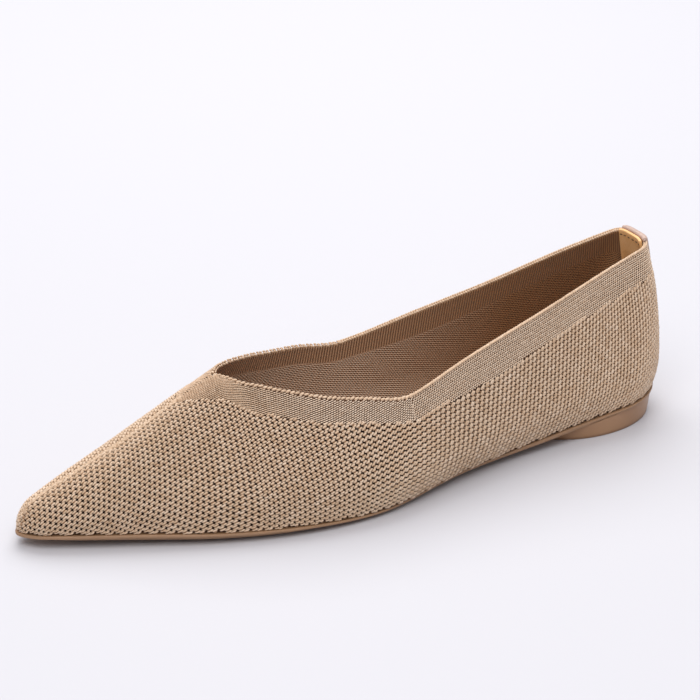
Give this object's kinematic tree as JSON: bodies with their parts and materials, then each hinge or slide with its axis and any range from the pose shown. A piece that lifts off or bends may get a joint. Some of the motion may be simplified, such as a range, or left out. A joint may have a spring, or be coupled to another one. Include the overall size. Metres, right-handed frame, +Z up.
{
  "type": "pointed toe shoe",
  "caption": "Left knitted flat shoe with a pointed toe, V-shaped throat, dense collar band, leather heel tab, thin sole and low oval heel.",
  "frame": {"origin": "middle of the shoe's length and width, on the floor it stands on", "axes": "+X from the heel to the toe, +Y to the wearer's left, +Z up from the floor"},
  "size_m": [0.2624, 0.0741, 0.0697],
  "materials": {
    "outsole": "satin tan brown",
    "heel": "smooth satin taupe",
    "upper": "open taupe knit",
    "insole": "matt tan",
    "heel_tab": "smooth mauve taupe",
    "heel_grip": "smooth tan"
  },
  "bodies": {
    "root": {"outsole": "outsole", "heel": "heel", "upper": "upper", "insole": "insole", "heel_tab": "heel_tab", "heel_grip": "heel_grip"}
  },
  "joints": []
}
